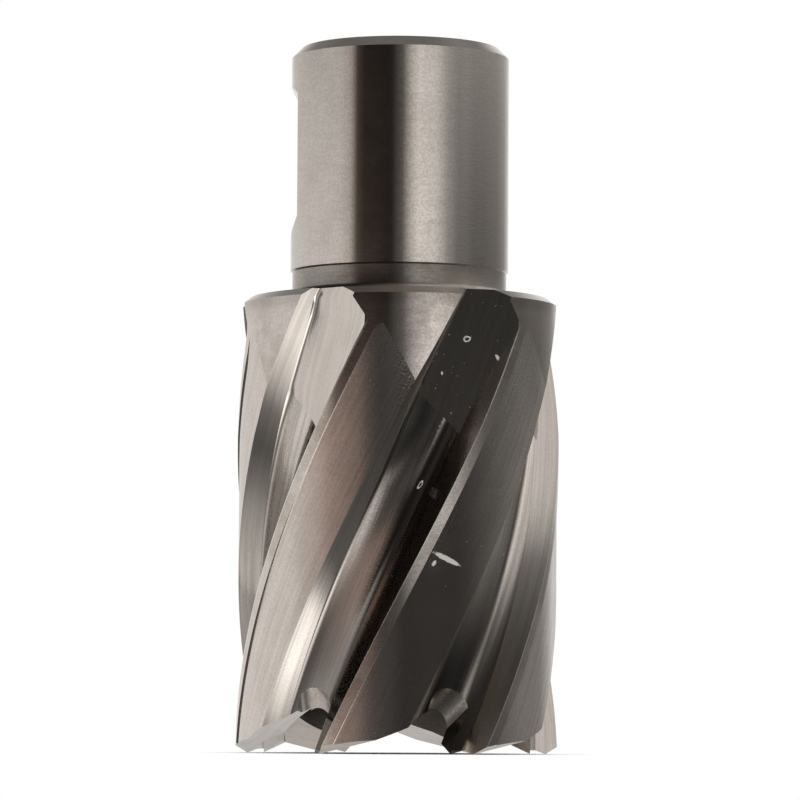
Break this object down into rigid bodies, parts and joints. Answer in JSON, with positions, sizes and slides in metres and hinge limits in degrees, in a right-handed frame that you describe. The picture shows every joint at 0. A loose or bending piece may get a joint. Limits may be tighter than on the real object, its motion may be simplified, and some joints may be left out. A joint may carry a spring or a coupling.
{
  "type": "annular cutter",
  "caption": "Annular cutter for a magnetic drill: hollow helical-fluted body with gulleted teeth, collar, short neck and a side-lock shank with a pilot bore.",
  "frame": {"origin": "on the cutter's axis, in the plane of the tooth tips", "axes": "+Z runs from the tooth tips up the axis to the shank end; -Y faces the camera; the shank's side flat faces -X"},
  "size_m": [0.028, 0.028, 0.0616],
  "materials": {
    "ground_tool_steel": "ground, satin"
  },
  "bodies": {
    "root": {"annular_cutter": "ground_tool_steel"}
  },
  "joints": []
}
